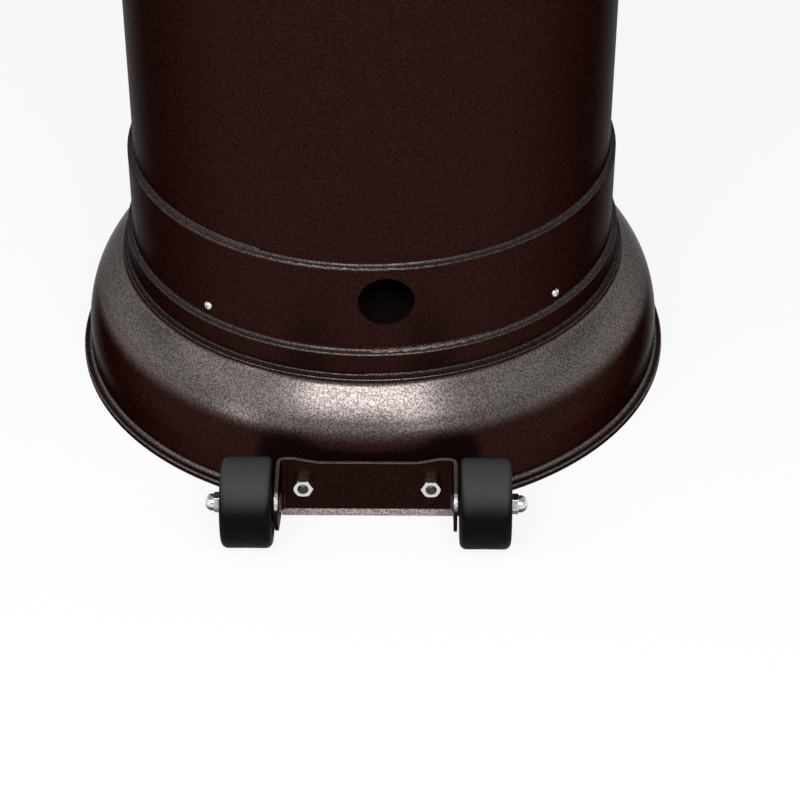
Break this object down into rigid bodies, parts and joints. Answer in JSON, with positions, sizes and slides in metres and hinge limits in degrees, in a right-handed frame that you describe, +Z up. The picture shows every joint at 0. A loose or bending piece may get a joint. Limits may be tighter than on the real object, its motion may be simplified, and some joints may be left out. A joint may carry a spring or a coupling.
{
  "type": "patio heater",
  "caption": "Free-standing gas patio heater: round base dish on wheels, tank housing with a door, post, burner head with slotted emitter, and a wide round reflector.",
  "frame": {"origin": "on the floor, under the axis of the post and base dish", "axes": "+Z up along the post; -Y toward the wheels; +Y toward the tank door and the control knob"},
  "size_m": [0.826, 0.826, 2.1777],
  "materials": {
    "hammered_bronze": "hammered, glossy",
    "black_steel": "satin",
    "zinc_plate": "plated, semi-bright",
    "stainless": "brushed",
    "spun_aluminium": "spun, satin",
    "valve_brass": "machined",
    "black_rubber": "matt",
    "black_plastic": "satin",
    "red_plastic": "gloss",
    "magnet": "matt"
  },
  "bodies": {
    "frame": {"axle_bolt_left": "black_steel", "axle_bolt_right": "black_steel", "axle_nut_left": "zinc_plate", "axle_nut_right": "zinc_plate", "axle_washer_left": "zinc_plate", "axle_washer_right": "zinc_plate", "base_dish": "hammered_bronze", "bracket_bolt_left": "zinc_plate", "bracket_bolt_right": "zinc_plate", "bracket_nut_left": "zinc_plate", "bracket_nut_right": "zinc_plate", "bracket_spacer_left": "black_steel", "bracket_spacer_right": "black_steel", "burner": "stainless", "burner_plate": "stainless", "catch_magnet": "magnet", "control_housing": "hammered_bronze", "emitter_cap": "stainless", "emitter_screen": "stainless", "flange_bolt_1": "zinc_plate", "flange_bolt_2": "zinc_plate", "flange_bolt_3": "zinc_plate", "gas_valve": "valve_brass", "heater_post": "hammered_bronze", "hinge_leaf_fixed_lower": "hammered_bronze", "hinge_leaf_fixed_upper": "hammered_bronze", "hinge_pin_lower": "zinc_plate", "hinge_pin_upper": "zinc_plate", "housing_screws": "zinc_plate", "housing_top": "hammered_bronze", "igniter_body": "black_plastic", "pilot_assembly": "stainless", "post_collar": "hammered_bronze", "post_flange": "black_steel", "reflector": "spun_aluminium", "reflector_nut_1": "zinc_plate", "reflector_nut_2": "zinc_plate", "reflector_nut_3": "zinc_plate", "reflector_stud_1": "zinc_plate", "reflector_stud_2": "zinc_plate", "reflector_stud_3": "zinc_plate", "tank_housing": "hammered_bronze", "tank_ring": "black_steel", "tilt_switch": "black_plastic", "top_screws": "zinc_plate", "top_stiffener": "black_steel", "wheel_bracket": "hammered_bronze"},
    "wheel_left": {"wheel_left": "black_rubber"},
    "wheel_right": {"wheel_right": "black_rubber"},
    "door": {"tank_door": "hammered_bronze", "door_pull": "black_plastic", "hinge_leaf_door_lower": "hammered_bronze", "hinge_leaf_door_upper": "hammered_bronze"},
    "valve_stem": {"valve_stem": "valve_brass"},
    "control_knob": {"control_knob": "black_plastic"},
    "igniter_button": {"igniter_button": "red_plastic"}
  },
  "joints": [
    {"name": "wheel_left_spin", "type": "hinge", "parent": "frame", "child": "wheel_left", "pos_m": [-0.08435, -0.26, 0.0335], "axis": [1, 0, 0], "continuous": true},
    {"name": "wheel_right_spin", "type": "hinge", "parent": "frame", "child": "wheel_right", "pos_m": [0.08435, -0.26, 0.0335], "axis": [1, 0, 0], "continuous": true},
    {"name": "door_swing", "type": "hinge", "parent": "frame", "child": "door", "pos_m": [-0.17216, 0.073, 0.374], "axis": [0, 0, 1], "range_deg": [0, 110]},
    {"name": "valve_turn", "type": "hinge", "parent": "frame", "child": "valve_stem", "pos_m": [0, 0.06, 1.8345], "axis": [0, 1, 0], "range_deg": [0, 180]},
    {"name": "knob_push", "type": "slide", "parent": "valve_stem", "child": "control_knob", "axis": [0, -1, 0], "range_m": [0, 0.003], "stiffness_N_per_m": 800},
    {"name": "igniter_push", "type": "slide", "parent": "frame", "child": "igniter_button", "axis": [0.5736, -0.8192, 0], "range_m": [0, 0.005], "stiffness_N_per_m": 600}
  ]
}
